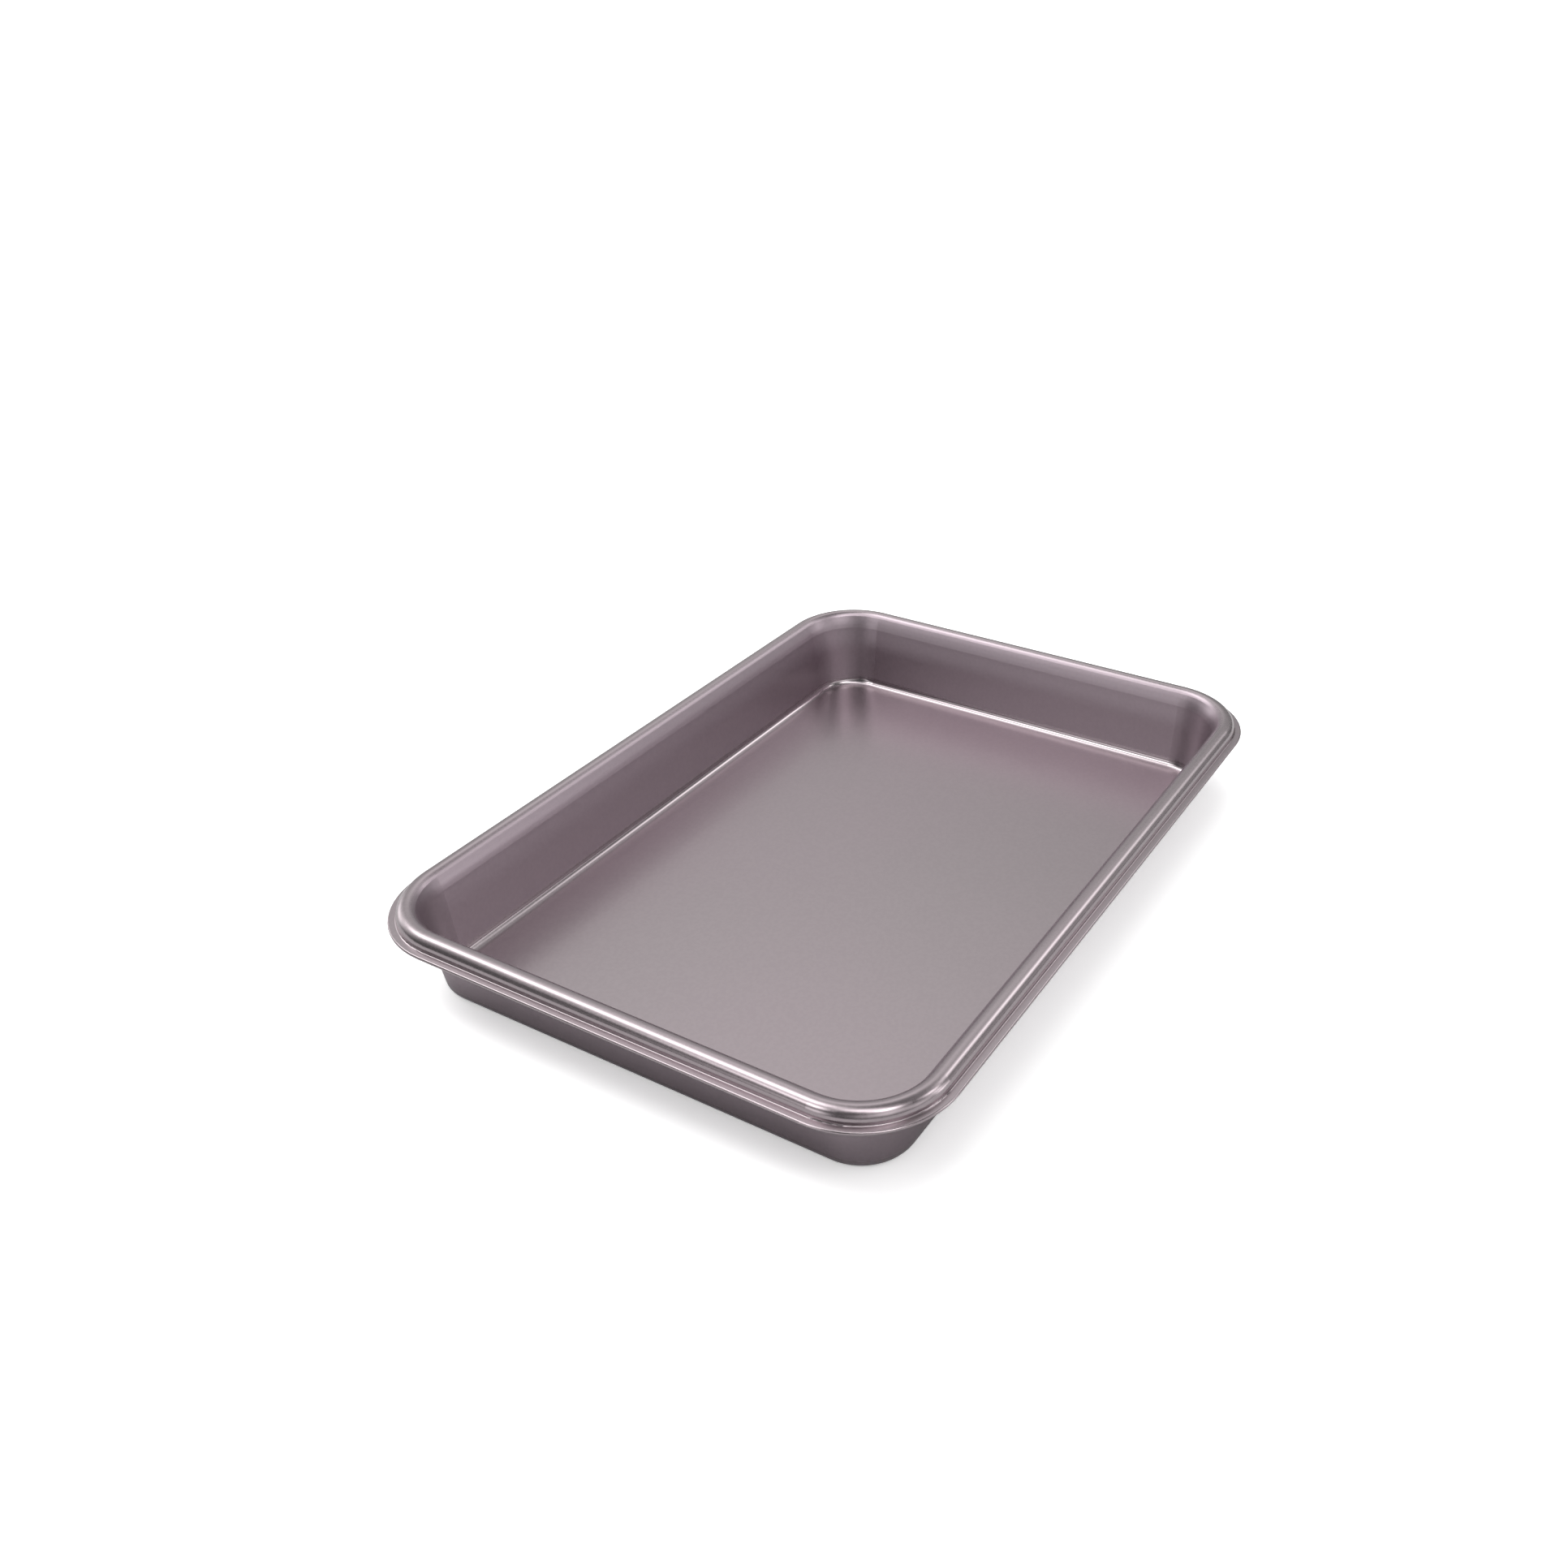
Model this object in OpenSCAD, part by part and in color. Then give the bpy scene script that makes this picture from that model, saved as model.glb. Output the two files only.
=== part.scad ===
// Jelly roll pan: one drawn and rolled steel sheet, with a steel wire ring wrapped into its rim.
// The pan stands on Z = 0, centred on the origin, with its long side along X.

/* [Opening] */
// Length of the opening, from the inner side of one end's bead to the other's
opening_l = 330; // [240:1:420]
// Width of the opening, from the inner side of one long bead to the other's
opening_w = 229; // [150:1:320]
// Corner radius of the opening
corner_r = 27; // [22:0.5:45]
// Height of the rim's crest above the table
pan_h = 40.2; // [28:0.1:55]

/* [Wall and floor] */
// Lean of the walls away from upright, in degrees
draft = 8.3; // [4:0.1:12]
// Inside radius of the bend between floor and wall
floor_r = 3.5; // [2:0.5:6]
// Radius of the soft shoulder between wall and bead, on the pan's inner face
shoulder_r = 13; // [7:0.5:18]
// Turn of that shoulder, in degrees
shoulder_turn = 28.5; // [10:0.5:35]
// Thickness of the steel sheet
sheet_t = 0.6; // [0.4:0.1:0.8]

/* [Rim] */
// Outside radius of the rolled bead
bead_r = 4.5; // [4.4:0.1:5.6]
// Upright step between the bead and the crease below it
bead_step = 0.5; // [0.2:0.1:0.6]
// Radius of the crease where the bead turns out into the flange
crease_r = 0.5; // [0.4:0.1:0.8]
// Reach of the flange past the bead, out to its folded edge
flange_w = 3.3; // [2.5:0.1:5]
// Diameter of the wire wrapped into the bead
wire_d = 4; // [3.4:0.1:4.2]

/* [Hidden] */
$fn = 96;

coating = [0.60, 0.55, 0.58];
bare_steel = [0.72, 0.73, 0.74];

// Half of the gap left inside the flange's folded hem
hem_r = 0.1;
// Bend of the tuck that lifts the hem's inner leg up under the wire
tuck_angle = 45;
tuck_r = 0.8;
// How far inside the bead's outer face that tuck starts
tuck_inset = 0.1;
// Wrap of the sheet's end around the wire, and the slack left between them
wrap_angle = 70;
wire_slack = 0.05;

// Centres of the four corners; every corner bend is turned about one of them
corner_x = opening_l / 2 - corner_r;
corner_y = opening_w / 2 - corner_r;

// The profile lies in a plane through a corner's centre: u runs outward from it, z up
bead_u = corner_r + bead_r;
bead_z = pan_h - bead_r;
bead_inner_r = bead_r - sheet_t;
shoulder_inner_r = shoulder_r - sheet_t;
wire_r = wire_d / 2;
wire_z = pan_h - sheet_t - wire_slack - wire_r;
wrap_r = wire_r + wire_slack;

// Top of the straight wall on the sheet's outer face, where the shoulder starts
shoulder_gap = shoulder_r - bead_r;
shoulder_lean = draft + shoulder_turn;
wall_top_u = bead_u + shoulder_gap * cos(shoulder_lean) - shoulder_inner_r * cos(draft);
wall_top_z = bead_z - shoulder_gap * sin(shoulder_lean) + shoulder_inner_r * sin(draft);

// Runs of flat sheet between the bends
floor_outer_r = floor_r + sheet_t;
wall_run = (wall_top_z - floor_outer_r * (1 - sin(draft))) / cos(draft);
floor_run = wall_top_u - wall_run * sin(draft) - floor_outer_r * cos(draft);
hem_u = bead_u + bead_r + flange_w - hem_r - sheet_t;
flange_run = hem_u - bead_u - bead_r - crease_r;
hem_leg = hem_u - bead_u - bead_r + tuck_inset;
leg_z = bead_z - bead_step - crease_r - sheet_t - 2 * hem_r;
tuck_rise = wire_z - wrap_r - leg_z;
tuck_run = (tuck_rise - (2 * tuck_r + sheet_t) * (1 - cos(tuck_angle))) / sin(tuck_angle);
tuck_reach = (2 * tuck_r + sheet_t) * sin(tuck_angle) + tuck_run * cos(tuck_angle);
under_run = hem_u - hem_leg - tuck_reach - bead_u;

// The sheet from the floor to its end round the wire, as [flat run, turn, inside radius of the turn].
// The bead follows its shoulder with no flat run between them.
BENDS = [
    [floor_run, 90 - draft, floor_r],
    [wall_run, -shoulder_turn, shoulder_inner_r],
    [0, shoulder_lean - 180, bead_inner_r],
    [bead_step, 90, crease_r],
    [flange_run, -180, hem_r],
    [hem_leg, -tuck_angle, tuck_r],
    [tuck_run, tuck_angle, tuck_r],
    [under_run, -wrap_angle, wrap_r]
];

// One bend of the sheet, centred on the origin: what a ring leaves between the end of one run and the start
// of the next, which is turned by the bend. Two half planes cut it out, for any turn up to 180 degrees.
module bend(turn, r) {
    reach = 2 * (r + sheet_t);
    intersection() {
        difference() {
            circle(r + sheet_t);
            circle(r);
        }
        translate([0, -reach]) square([reach, 2 * reach]);
        rotate(turn) translate([-reach, -reach]) square([reach, 2 * reach]);
    }
}

// Lays the sheet along +X, each run and bend starting where the last one ended
module sheet_path(bends, i = 0) {
    if (i < len(bends)) {
        run = bends[i][0];
        turn = bends[i][1];
        r = bends[i][2];
        pivot = [run, turn > 0 ? sheet_t + r : -r];
        if (run > 0) square([run, sheet_t]);
        translate(pivot) bend(turn, r);
        translate(pivot) rotate(turn) translate([0, -pivot[1]]) sheet_path(bends, i + 1);
    }
}

// Sweeps a profile round the pan: straight along the four sides and turned through the four corners
module sweep_round() {
    for (s = [0, 1]) rotate(180 * s) {
        translate([corner_x, corner_y, 0]) rotate_extrude(angle = 90) children();
        translate([-corner_x, corner_y, 0]) rotate(90) rotate_extrude(angle = 90) children();
        translate([corner_x, corner_y, 0]) rotate([90, 0, 0]) linear_extrude(2 * corner_y) children();
        translate([-corner_x, corner_y, 0]) rotate([90, 0, 90]) linear_extrude(2 * corner_x) children();
    }
}

// The pan itself: floor, leaning walls, rolled bead, flange and hem from one sheet
module pan_shell() {
    color(coating) {
        translate([-corner_x, -corner_y, 0]) cube([2 * corner_x, 2 * corner_y, sheet_t]);
        sweep_round() sheet_path(BENDS);
    }
}

// Closed ring of wire, hidden in the bead and held by the wrapped end of the sheet
module rim_wire() {
    color(bare_steel) sweep_round() translate([bead_u, wire_z]) circle(wire_r);
}

pan_shell();
rim_wire();
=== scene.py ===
import math

import bpy
from bpy.props import FloatProperty, FloatVectorProperty, PointerProperty
from bpy.types import Operator, Panel, PropertyGroup
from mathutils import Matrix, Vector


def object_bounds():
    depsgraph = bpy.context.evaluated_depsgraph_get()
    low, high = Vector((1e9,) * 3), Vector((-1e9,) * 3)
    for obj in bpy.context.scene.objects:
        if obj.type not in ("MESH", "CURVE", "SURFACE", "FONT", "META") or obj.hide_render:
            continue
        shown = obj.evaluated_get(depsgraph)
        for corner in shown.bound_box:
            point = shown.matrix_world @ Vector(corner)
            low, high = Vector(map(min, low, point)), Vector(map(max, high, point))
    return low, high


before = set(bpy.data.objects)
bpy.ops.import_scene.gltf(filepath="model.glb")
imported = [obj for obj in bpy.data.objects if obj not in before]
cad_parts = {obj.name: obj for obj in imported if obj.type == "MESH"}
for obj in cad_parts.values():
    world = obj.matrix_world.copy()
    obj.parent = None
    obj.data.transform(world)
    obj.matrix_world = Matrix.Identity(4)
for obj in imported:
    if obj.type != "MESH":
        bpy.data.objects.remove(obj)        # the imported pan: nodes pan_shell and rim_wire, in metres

bl_info = {
    "name": "Jelly roll pan",
    "version": (1, 1, 0),
    "blender": (4, 5, 0),
    "location": "3D View > Sidebar > Bakeware",
    "description": "Coating, bare steel, floor, studio light and camera for a jelly roll pan",
    "category": "Material",
}

CAD_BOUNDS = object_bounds()

# How far the flange's folded edge lies past a corner's centre, and from it where those centres are
EDGE_REACH = 0.0393
CORNER_X = CAD_BOUNDS[1][0] - EDGE_REACH
CORNER_Y = CAD_BOUNDS[1][1] - EDGE_REACH

# Where the finish of each part of the pan's section starts and where it is full, in metres.
# Heights are above the table, and reaches are outward from the corner centres.
FOLD_HEIGHT = (0.0008, 0.0014)
WALL_HEIGHT = (0.0025, 0.0060)
BOW_HEIGHT = (0.020, 0.038)
RIM_REACH = (0.0275, 0.0310)
CREST_REACH = (0.0315, 0.0318)
FLANGE_REACH = (0.0358, 0.0366)
HEM_REACH = (0.0384, 0.0388)

# Steps of the wire's marks along X, Y and Z; the low ones draw the marks out along the wire
WIRE_STRETCH = (0.15, 0.15, 1.0)

WHITE = (1.0, 1.0, 1.0, 1.0)

# Soft lights round the pan: name, azimuth, elevation and spread in degrees, and level, where 1 is white
SOFT_LIGHTS = (
    ("backdrop left", 40, 20, 26, 0.54),
    ("backdrop right", -8, 20, 22, 0.32),
    ("backdrop top", 32, 50, 16, 0.85),
    ("backdrop middle", 0, 44, 12, 0.55),
    ("back box", -34, 45, 14, 0.60),
    ("back strip", -28, 36, 9, 2.60),
    ("low back box", -40, 12, 10, 0.50),
    ("left box", 95, 32, 24, 0.90),
    ("low left box", 84, 10, 14, 1.70),
    ("upper left box", 66, 50, 13, 0.60),
    ("high left box", 120, 65, 14, 0.90),
    ("left front box", 153, 46, 9, 5.00),
    ("front left box", 165, 14, 11, 2.00),
    ("left strip", 94, 46, 11, 3.20),
    ("high left strip", 102, 65, 12, 3.20),
    ("ceiling strip", -150, 74, 12, 3.00),
    ("right strip", -114, 58, 9, 6.00),
    ("right box", -120, 28, 17, 1.40),
    ("side box", -86, 16, 15, 1.00),
    ("side strip", -61, 6, 7, 3.20),
    ("middle side strip", -63, 22, 7, 2.40),
    ("upper side strip", -61, 40, 7, 3.60),
    ("front box", -148, 22, 15, 0.45),
    ("ceiling", 0, 90, 35, 0.20),
)


class CoatingSettings(PropertyGroup):
    """Sizes and colours of the non-stick coating."""
    tint: FloatVectorProperty(
        name="Tint", description="Colour of the light that the coating throws back",
        subtype="COLOR", size=3, min=0.0, max=1.0, default=(0.405, 0.348, 0.369))
    drift_tint: FloatVectorProperty(
        name="Drift tint", description="Colour that the coating drifts to in slow patches",
        subtype="COLOR", size=3, min=0.0, max=1.0, default=(0.398, 0.349, 0.365))
    drift_size: FloatProperty(
        name="Drift size", description="Width of the slow patches of colour",
        unit="LENGTH", min=0.02, max=0.5, default=0.14, precision=3)
    wall_tint: FloatVectorProperty(
        name="Wall tint", description="Colour of the thicker coating on the walls",
        subtype="COLOR", size=3, min=0.0, max=1.0, default=(0.400, 0.333, 0.370))
    wall_roughness: FloatProperty(
        name="Wall roughness", description="Blur of the reflections in the walls",
        subtype="FACTOR", min=0.05, max=1.0, default=0.39)
    floor_roughness: FloatProperty(
        name="Floor roughness", description="Blur of the reflections in the pan's floor and flange",
        subtype="FACTOR", min=0.05, max=1.0, default=0.295)
    rim_roughness: FloatProperty(
        name="Rim roughness", description="Blur of the reflections in the rolled rim",
        subtype="FACTOR", min=0.05, max=1.0, default=0.21)
    fold_roughness: FloatProperty(
        name="Fold roughness", description="Blur of the reflections in the bend between floor and walls",
        subtype="FACTOR", min=0.05, max=1.0, default=0.15)
    gloss: FloatProperty(
        name="Gloss", description="Weight of the clear gloss over the pigment",
        subtype="FACTOR", min=0.0, max=1.0, default=0.20)
    gloss_roughness: FloatProperty(
        name="Gloss roughness", description="Blur of the reflections in the clear gloss",
        subtype="FACTOR", min=0.0, max=1.0, default=0.08)
    grain_size: FloatProperty(
        name="Grain size", description="Width of the fine specks in the sprayed coating",
        unit="LENGTH", min=0.0001, max=0.002, default=0.0016, precision=5)
    grain_depth: FloatProperty(
        name="Grain depth", description="Height of the coating's fine specks",
        unit="LENGTH", min=0.0, max=0.0001, default=0.000001, precision=7)
    grain_shade: FloatProperty(
        name="Grain shade", description="Difference in brightness between the lightest and darkest specks",
        subtype="FACTOR", min=0.0, max=0.5, default=0.04)
    grain_blur: FloatProperty(
        name="Grain blur", description="Difference in roughness between the dullest and shiniest specks",
        subtype="FACTOR", min=0.0, max=0.1, default=0.02)
    wall_bow: FloatProperty(
        name="Wall bow", description="How far the drawn wall leans out on its way to the rim",
        unit="LENGTH", min=0.0, max=0.004, default=0.0015, precision=4)
    ripple_size: FloatProperty(
        name="Ripple size", description="Width of the slow waves left in the drawn sheet",
        unit="LENGTH", min=0.01, max=0.2, default=0.07, precision=3)
    ripple_depth: FloatProperty(
        name="Ripple depth", description="Height of the slow waves left in the drawn sheet",
        unit="LENGTH", min=0.0, max=0.001, default=0.00010, precision=6)


class SteelSettings(PropertyGroup):
    """Finish of the bare wire inside the rim."""
    tint: FloatVectorProperty(
        name="Tint", description="Colour of the bare steel wire",
        subtype="COLOR", size=3, min=0.0, max=1.0, default=(0.56, 0.57, 0.58))
    patch_shade: FloatProperty(
        name="Patch shade", description="Brightness of the dull patches beside the tint's own",
        subtype="FACTOR", min=0.0, max=1.0, default=0.8)
    patch_size: FloatProperty(
        name="Patch size", description="Width of the dull patches",
        unit="LENGTH", min=0.001, max=0.1, default=0.02, precision=3)
    roughness: FloatProperty(
        name="Roughness", description="Blur of the reflections in the drawn wire",
        subtype="FACTOR", min=0.1, max=0.9, default=0.35)
    streak_blur: FloatProperty(
        name="Streak blur", description="Difference in roughness between the dullest and shiniest marks",
        subtype="FACTOR", min=0.0, max=0.2, default=0.12)
    streak_size: FloatProperty(
        name="Streak size", description="Width of the marks that drawing leaves on the wire",
        unit="LENGTH", min=0.0001, max=0.002, default=0.0003, precision=5)
    streak_depth: FloatProperty(
        name="Streak depth", description="Height of the marks that drawing leaves on the wire",
        unit="LENGTH", min=0.0, max=0.0001, default=0.000005, precision=7)


class StudioSettings(PropertyGroup):
    """Floor and room light."""
    floor_reach: FloatProperty(
        name="Floor reach", description="How far the floor runs out from the pan's middle each way",
        unit="LENGTH", min=1.0, max=100.0, default=20.0)
    floor_tint: FloatVectorProperty(
        name="Floor tint", description="Colour of the floor as the pan mirrors it",
        subtype="COLOR", size=3, min=0.0, max=1.0, default=(0.50, 0.50, 0.50))
    floor_lift: FloatProperty(
        name="Floor lift", description="White that the camera sees added to the floor",
        min=0.0, max=1.0, default=0.32)
    key_light: FloatProperty(
        name="Key light", description="White that the soft key light adds to the floor",
        min=0.0, max=2.0, default=0.40)
    key_width: FloatProperty(
        name="Key width", description="Angle across the key light, which sets how soft the shadow is",
        subtype="ANGLE", min=0.0, max=math.pi, default=math.radians(60))
    key_tilt: FloatProperty(
        name="Key tilt", description="Angle of the key light away from straight overhead",
        subtype="ANGLE", min=0.0, max=math.radians(80), default=math.radians(20))
    key_turn: FloatProperty(
        name="Key turn", description="Direction round the pan that the key light comes from",
        subtype="ANGLE", min=-math.pi, max=math.pi, default=math.radians(68))
    room_light: FloatProperty(
        name="Room light", description="Level of the even light from all round, where 1 is white",
        min=0.0, max=2.0, default=0.06)


class CameraSettings(PropertyGroup):
    """Where the picture is taken from."""
    place: FloatVectorProperty(
        name="Place", description="Camera position",
        subtype="TRANSLATION", unit="LENGTH", size=3, default=(-0.4758, -0.3006, 0.3862), precision=4)
    turn: FloatVectorProperty(
        name="Turn", description="Camera rotation",
        subtype="EULER", unit="ROTATION", size=3,
        default=(math.radians(58.821), math.radians(0.162), math.radians(-59.485)))
    sensor: FloatProperty(
        name="Sensor", description="Width of the camera's sensor, in millimetres",
        min=1.0, max=100.0, default=36.0)
    lens: FloatProperty(
        name="Lens", description="Focal length on that sensor, in millimetres",
        min=10.0, max=200.0, default=34.366)
    shift: FloatProperty(
        name="Shift", description="Sideways lens shift that frames the pan",
        min=-0.2, max=0.2, default=-0.0694)
    nearest: FloatProperty(
        name="Nearest", description="Distance from which the camera sees things",
        unit="LENGTH", min=0.001, max=1.0, default=0.01, precision=3)


def new_material(name):
    """An empty node material with its output and its one shader."""
    finish = bpy.data.materials.new(name)
    finish.use_nodes = True
    tree = finish.node_tree
    tree.nodes.clear()
    output = tree.nodes.new("ShaderNodeOutputMaterial")
    shader = tree.nodes.new("ShaderNodeBsdfPrincipled")
    tree.links.new(shader.outputs[0], output.inputs["Surface"])
    return finish, tree, shader


def new_group(name, inputs, outputs):
    """An empty node group with named sockets; inputs are (name, socket kind, default)."""
    group = bpy.data.node_groups.new(name, "ShaderNodeTree")
    for socket, kind, default in inputs:
        group.interface.new_socket(socket, in_out="INPUT", socket_type=kind).default_value = default
    for socket, kind in outputs:
        group.interface.new_socket(socket, in_out="OUTPUT", socket_type=kind)
    return group, group.nodes.new("NodeGroupInput").outputs, group.nodes.new("NodeGroupOutput").inputs


def feed(tree, socket, value):
    """Gives a socket a value or a link from another socket."""
    if isinstance(value, bpy.types.NodeSocket):
        tree.links.new(value, socket)
    elif isinstance(value, (tuple, list)) and socket.type == "RGBA":
        socket.default_value = (*value[:3], 1.0)
    else:
        socket.default_value = value


def maths(tree, operation, *values):
    node = tree.nodes.new("ShaderNodeMath")
    node.operation = operation
    for socket, value in zip(node.inputs, values):
        feed(tree, socket, value)
    return node.outputs[0]


def vector_maths(tree, operation, *values):
    node = tree.nodes.new("ShaderNodeVectorMath")
    node.operation = operation
    for socket, value in zip(node.inputs, values):
        feed(tree, socket, value)
    return node.outputs["Value" if operation in ("DOT_PRODUCT", "LENGTH") else "Vector"]


def object_place(tree):
    """Where a point lies on the object, in metres from its origin."""
    return tree.nodes.new("ShaderNodeTexCoord").outputs["Object"]


def ramp(tree, value, low, high, at_low=0.0, at_high=1.0):
    """Turns low to high into at_low to at_high, with soft ends."""
    node = tree.nodes.new("ShaderNodeMapRange")
    node.interpolation_type = "SMOOTHSTEP"
    for socket, amount in (("Value", value), ("From Min", low), ("From Max", high),
                           ("To Min", at_low), ("To Max", at_high)):
        feed(tree, node.inputs[socket], amount)
    return node.outputs["Result"]


def fade(tree, mask, outside, inside):
    """Goes from one value to another as a mask goes from 0 to 1."""
    return ramp(tree, mask, 0.0, 1.0, outside, inside)


def vary(tree, mask, middle, spread):
    """Turns a mask of 0 to 1 into a value that is spread evenly about a middle one."""
    return maths(tree, "MULTIPLY_ADD", mask, spread, middle - spread / 2)


def noise(tree, where, scale, detail, roughness):
    node = tree.nodes.new("ShaderNodeTexNoise")
    feed(tree, node.inputs["Vector"], where)
    feed(tree, node.inputs["Scale"], scale)
    node.inputs["Detail"].default_value = detail
    node.inputs["Roughness"].default_value = roughness
    return node.outputs["Fac"]


def mix_colour(tree, factor, first, second):
    """Mixes two colours, which a Mix node takes in its sockets 6 and 7 and gives as its output 2."""
    node = tree.nodes.new("ShaderNodeMix")
    node.data_type = "RGBA"
    for index, value in ((0, factor), (6, first), (7, second)):
        feed(tree, node.inputs[index], value)
    return node.outputs[2]


def scale_colour(tree, colour, factor):
    node = tree.nodes.new("ShaderNodeVectorMath")
    node.operation = "SCALE"
    tree.links.new(colour, node.inputs[0])
    tree.links.new(factor, node.inputs["Scale"])
    return node.outputs[0]


def bump(tree, height, distance, below=None):
    """Raises the normal by a height of 0 to 1 times a real distance, over another bump if there is one."""
    node = tree.nodes.new("ShaderNodeBump")
    node.inputs["Distance"].default_value = distance
    feed(tree, node.inputs["Height"], height)
    if below is not None:
        tree.links.new(below, node.inputs["Normal"])
    return node.outputs[0]


def place_group(tree, group, **values):
    """Places a node group with its own values and gives its outputs; _ in a name stands for a space."""
    node = tree.nodes.new("ShaderNodeGroup")
    node.node_tree = group
    for name, value in values.items():
        feed(tree, node.inputs[name.replace("_", " ")], value)
    return node.outputs


def grain_group():
    """Fine specks of a sprayed or drawn surface, at a real size, as a soft mask and a height."""
    name = "Fine grain"
    if name in bpy.data.node_groups:
        return bpy.data.node_groups[name]
    sockets = (("Speck Size", "NodeSocketFloat", 0.0004), ("Stretch", "NodeSocketVector", (1.0, 1.0, 1.0)))
    outputs = (("Mask", "NodeSocketFloat"), ("Height", "NodeSocketFloat"))
    group, given, result = new_group(name, sockets, outputs)
    where = vector_maths(group, "MULTIPLY", object_place(group), given["Stretch"])
    per_metre = maths(group, "DIVIDE", 1.0, given["Speck Size"])
    fine = noise(group, where, per_metre, detail=2.0, roughness=0.5)
    group.links.new(ramp(group, fine, low=0.35, high=0.65), result["Mask"])
    group.links.new(fine, result["Height"])
    return group


def drift_group():
    """Slow patches at a real size, such as a colour that drifts or a sheet that isn't quite flat."""
    name = "Slow drift"
    if name in bpy.data.node_groups:
        return bpy.data.node_groups[name]
    sockets = (("Patch Size", "NodeSocketFloat", 0.06),)
    outputs = (("Mask", "NodeSocketFloat"), ("Height", "NodeSocketFloat"))
    group, given, result = new_group(name, sockets, outputs)
    per_metre = maths(group, "DIVIDE", 1.0, given["Patch Size"])
    slow = noise(group, object_place(group), per_metre, detail=1.0, roughness=0.4)
    group.links.new(ramp(group, slow, low=0.3, high=0.7), result["Mask"])
    group.links.new(slow, result["Height"])
    return group


def section_group():
    """Where a point lies on the pan's section: its reach past the corner centres, and its height."""
    name = "Pan section"
    if name in bpy.data.node_groups:
        return bpy.data.node_groups[name]
    outputs = (("Reach", "NodeSocketFloat"), ("Height", "NodeSocketFloat"))
    group, _, result = new_group(name, (), outputs)
    where = object_place(group)
    past = vector_maths(group, "SUBTRACT", vector_maths(group, "ABSOLUTE", where), (CORNER_X, CORNER_Y, 1.0))
    outward = vector_maths(group, "MAXIMUM", past, (0.0, 0.0, 0.0))
    level = vector_maths(group, "MULTIPLY", outward, (1.0, 1.0, 0.0))
    split = group.nodes.new("ShaderNodeSeparateXYZ")
    group.links.new(where, split.inputs[0])
    group.links.new(vector_maths(group, "LENGTH", level), result["Reach"])
    group.links.new(split.outputs["Z"], result["Height"])
    return group


def soft_light_group():
    """One soft light of the room: a level that falls off smoothly round its direction."""
    name = "Soft light"
    if name in bpy.data.node_groups:
        return bpy.data.node_groups[name]
    sockets = (("Direction", "NodeSocketVector", (0.0, 0.0, 1.0)), ("Sharpness", "NodeSocketFloat", 10.0),
               ("Level", "NodeSocketFloat", 1.0))
    group, given, result = new_group(name, sockets, (("Light", "NodeSocketFloat"),))
    sight = group.nodes.new("ShaderNodeTexCoord").outputs["Generated"]
    near = vector_maths(group, "DOT_PRODUCT", vector_maths(group, "NORMALIZE", sight), given["Direction"])
    away = maths(group, "SUBTRACT", near, 1.0)
    fall = maths(group, "EXPONENT", maths(group, "MULTIPLY", away, given["Sharpness"]))
    group.links.new(maths(group, "MULTIPLY", fall, given["Level"]), result["Light"])
    return group


def dress(node, finish):
    """Puts a finish on a CAD node's own slots; its mesh stays as it is."""
    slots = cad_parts[node].data.materials
    slots.clear()
    slots.append(finish)


class BAKEWARE_OT_coat_pan(Operator):
    """Gives the pressed sheet its mauve grey non-stick coating"""
    bl_idname = "bakeware.coat_pan"
    bl_label = "Coat the pan"

    def execute(self, context):
        s = context.scene.pan_coating
        finish, tree, shader = new_material("Non-stick coating")
        grain = place_group(tree, grain_group(), Speck_Size=s.grain_size)
        drift = place_group(tree, drift_group(), Patch_Size=s.drift_size)
        ripple = place_group(tree, drift_group(), Patch_Size=s.ripple_size)
        section = place_group(tree, section_group())
        reach = section["Reach"]
        height = section["Height"]

        on_wall = ramp(tree, height, *WALL_HEIGHT)
        on_fold = maths(tree, "SUBTRACT", ramp(tree, height, *FOLD_HEIGHT), on_wall)
        on_rim = ramp(tree, reach, *RIM_REACH)
        on_flange = ramp(tree, reach, *FLANGE_REACH)
        on_hem = ramp(tree, reach, *HEM_REACH)
        wall_only = maths(tree, "SUBTRACT", on_wall, maths(tree, "MULTIPLY", on_wall, on_rim))

        tint = mix_colour(tree, drift["Mask"], tuple(s.tint), tuple(s.drift_tint))
        tint = mix_colour(tree, wall_only, tint, tuple(s.wall_tint))
        specks = vary(tree, grain["Mask"], 1.0, s.grain_shade)
        tree.links.new(scale_colour(tree, tint, specks), shader.inputs["Base Color"])

        rough = fade(tree, on_wall, s.floor_roughness, s.wall_roughness)
        rough = fade(tree, on_fold, rough, s.fold_roughness)
        rough = fade(tree, on_rim, rough, s.rim_roughness)
        rough = fade(tree, on_flange, rough, s.floor_roughness)
        rough = fade(tree, on_hem, rough, s.rim_roughness)
        rough = maths(tree, "ADD", rough, vary(tree, grain["Mask"], 0.0, s.grain_blur))
        tree.links.new(rough, shader.inputs["Roughness"])

        shader.inputs["Metallic"].default_value = 1.0
        shader.inputs["Coat Weight"].default_value = s.gloss
        shader.inputs["Coat Roughness"].default_value = s.gloss_roughness

        # The bow bends the reflections in the inner wall alone and ends at the crest of the bead
        past_bow = maths(tree, "MAXIMUM", ramp(tree, height, *BOW_HEIGHT), ramp(tree, reach, *CREST_REACH))
        bow = bump(tree, maths(tree, "SUBTRACT", 1.0, past_bow), s.wall_bow)
        waves = bump(tree, ripple["Height"], s.ripple_depth, bow)
        tree.links.new(bump(tree, grain["Height"], s.grain_depth, waves), shader.inputs["Normal"])
        dress("pan_shell", finish)
        return {"FINISHED"}


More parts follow.
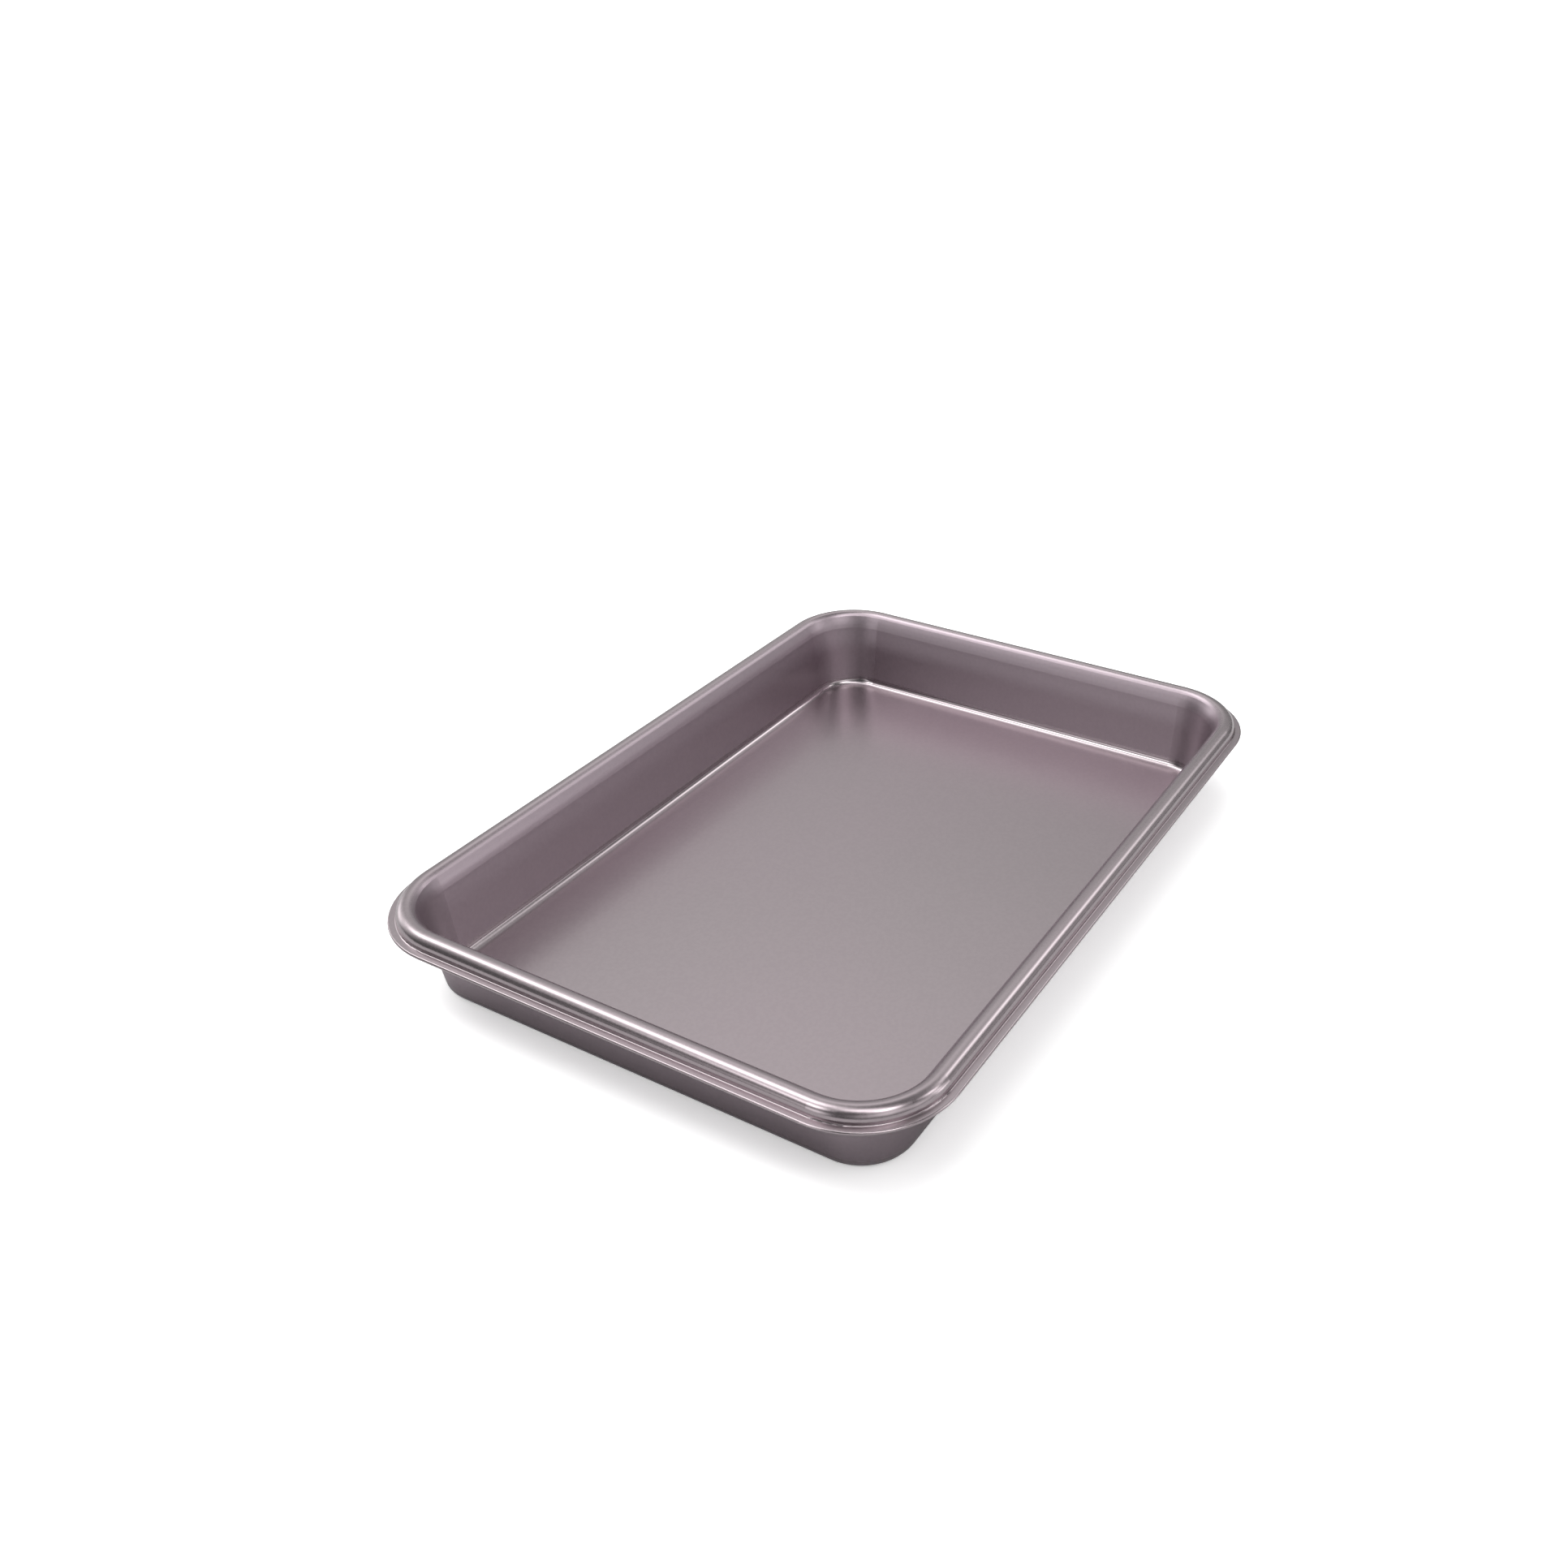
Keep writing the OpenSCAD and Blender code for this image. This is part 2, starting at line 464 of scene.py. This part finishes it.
class BAKEWARE_OT_finish_wire(Operator):
    """Gives the wire in the rim its bare drawn steel"""
    bl_idname = "bakeware.finish_wire"
    bl_label = "Finish the rim wire"

    def execute(self, context):
        s = context.scene.pan_steel
        finish, tree, shader = new_material("Drawn steel wire")
        streaks = place_group(tree, grain_group(), Speck_Size=s.streak_size, Stretch=WIRE_STRETCH)
        patches = place_group(tree, drift_group(), Patch_Size=s.patch_size)
        dull = tuple(s.patch_shade * channel for channel in s.tint)
        tint = mix_colour(tree, patches["Mask"], tuple(s.tint), dull)
        tree.links.new(tint, shader.inputs["Base Color"])
        rough = vary(tree, streaks["Mask"], s.roughness, s.streak_blur)
        tree.links.new(rough, shader.inputs["Roughness"])
        shader.inputs["Metallic"].default_value = 1.0
        tree.links.new(bump(tree, streaks["Height"], s.streak_depth), shader.inputs["Normal"])
        dress("rim_wire", finish)
        return {"FINISHED"}


class BAKEWARE_OT_light_studio(Operator):
    """Lays the pale floor and lights the room softly"""
    bl_idname = "bakeware.light_studio"
    bl_label = "Build the studio"

    def execute(self, context):
        s = context.scene.pan_studio
        mesh = bpy.data.meshes.new("studio_floor")
        far = s.floor_reach
        mesh.from_pydata([(-far, -far, 0), (far, -far, 0), (far, far, 0), (-far, far, 0)], [], [(0, 1, 2, 3)])
        floor = bpy.data.objects.new("studio_floor", mesh)
        context.scene.collection.objects.link(floor)
        mesh.materials.append(self.floor_material(s))
        self.light_room(context.scene, s)
        self.light_floor(context.scene, s)
        context.scene.view_settings.view_transform = "Standard"
        return {"FINISHED"}

    def floor_material(self, s):
        """A matt floor that the camera sees as white with the pan's shadow, and the pan mirrors as grey."""
        finish, tree, shader = new_material("Pale floor")
        shader.inputs["Roughness"].default_value = 1.0
        shader.inputs["Specular IOR Level"].default_value = 0.0
        seen = tree.nodes.new("ShaderNodeLightPath").outputs["Is Camera Ray"]
        tree.links.new(mix_colour(tree, seen, tuple(s.floor_tint), WHITE), shader.inputs["Base Color"])
        shader.inputs["Emission Color"].default_value = WHITE
        tree.links.new(maths(tree, "MULTIPLY", seen, s.floor_lift), shader.inputs["Emission Strength"])
        return finish

    def light_floor(self, scene, s):
        """A wide key light from behind the pan; its soft shadow falls to the pan's front and right."""
        lamp = bpy.data.lights.new("Key light", "SUN")
        lamp.angle = s.key_width
        lamp.energy = s.key_light * math.pi / math.cos(s.key_tilt)
        obj = bpy.data.objects.new("key_light", lamp)
        obj.rotation_euler = (0.0, s.key_tilt, s.key_turn)
        obj.visible_glossy = False
        scene.collection.objects.link(obj)

    def light_room(self, scene, s):
        """The soft lights and the even light that the pan mirrors, behind a white that the camera sees."""
        world = bpy.data.worlds.new("Studio room")
        scene.world = world
        world.use_nodes = True
        tree = world.node_tree
        tree.nodes.clear()
        total = s.room_light
        for label, azimuth, elevation, spread, level in SOFT_LIGHTS:
            turn = math.radians(azimuth)
            rise = math.radians(elevation)
            towards = (math.cos(rise) * math.cos(turn), math.cos(rise) * math.sin(turn), math.sin(rise))
            sharp = 1.0 / (1.0 - math.cos(math.radians(spread)))
            light = place_group(tree, soft_light_group(), Direction=towards, Sharpness=sharp, Level=level)
            light["Light"].node.label = label
            total = maths(tree, "ADD", total, light["Light"])
        room = tree.nodes.new("ShaderNodeBackground")
        room.inputs["Color"].default_value = WHITE
        tree.links.new(total, room.inputs["Strength"])
        white = tree.nodes.new("ShaderNodeBackground")
        white.inputs["Color"].default_value = WHITE
        pick = tree.nodes.new("ShaderNodeMixShader")
        tree.links.new(tree.nodes.new("ShaderNodeLightPath").outputs["Is Camera Ray"], pick.inputs[0])
        tree.links.new(room.outputs[0], pick.inputs[1])
        tree.links.new(white.outputs[0], pick.inputs[2])
        tree.links.new(pick.outputs[0], tree.nodes.new("ShaderNodeOutputWorld").inputs["Surface"])


class BAKEWARE_OT_place_camera(Operator):
    """Puts the camera where the picture was taken from"""
    bl_idname = "bakeware.place_camera"
    bl_label = "Place the camera"

    def execute(self, context):
        s = context.scene.pan_camera
        camera = bpy.data.cameras.new("pan_camera")
        camera.sensor_width = s.sensor
        camera.lens = s.lens
        camera.shift_x = s.shift
        camera.clip_start = s.nearest
        obj = bpy.data.objects.new("pan_camera", camera)
        obj.location = s.place
        obj.rotation_euler = s.turn
        context.scene.collection.objects.link(obj)
        context.scene.camera = obj
        return {"FINISHED"}


class BAKEWARE_PT_pan(Panel):
    """Lists the pan's settings and operators"""
    bl_idname = "BAKEWARE_PT_pan"
    bl_label = "Jelly roll pan"
    bl_space_type = "VIEW_3D"
    bl_region_type = "UI"
    bl_category = "Bakeware"

    def draw(self, context):
        for group in SETTINGS:
            box = self.layout.box()
            settings = getattr(context.scene, group)
            for prop in settings.bl_rna.properties:
                if prop.identifier not in ("rna_type", "name"):
                    box.prop(settings, prop.identifier)
        for op in OPERATORS:
            self.layout.operator(op.bl_idname)


SETTINGS = {
    "pan_coating": CoatingSettings,
    "pan_steel": SteelSettings,
    "pan_studio": StudioSettings,
    "pan_camera": CameraSettings,
}
OPERATORS = (
    BAKEWARE_OT_coat_pan,
    BAKEWARE_OT_finish_wire,
    BAKEWARE_OT_light_studio,
    BAKEWARE_OT_place_camera,
)


def register():
    for name, cls in SETTINGS.items():
        bpy.utils.register_class(cls)
        setattr(bpy.types.Scene, name, PointerProperty(type=cls))
    for cls in (*OPERATORS, BAKEWARE_PT_pan):
        bpy.utils.register_class(cls)


def unregister():
    for cls in (BAKEWARE_PT_pan, *reversed(OPERATORS)):
        bpy.utils.unregister_class(cls)
    for name, cls in SETTINGS.items():
        delattr(bpy.types.Scene, name)
        bpy.utils.unregister_class(cls)


def main():
    register()
    bpy.ops.bakeware.coat_pan()
    bpy.ops.bakeware.finish_wire()
    bpy.ops.bakeware.light_studio()
    bpy.ops.bakeware.place_camera()


if __name__ == "__main__":
    main()
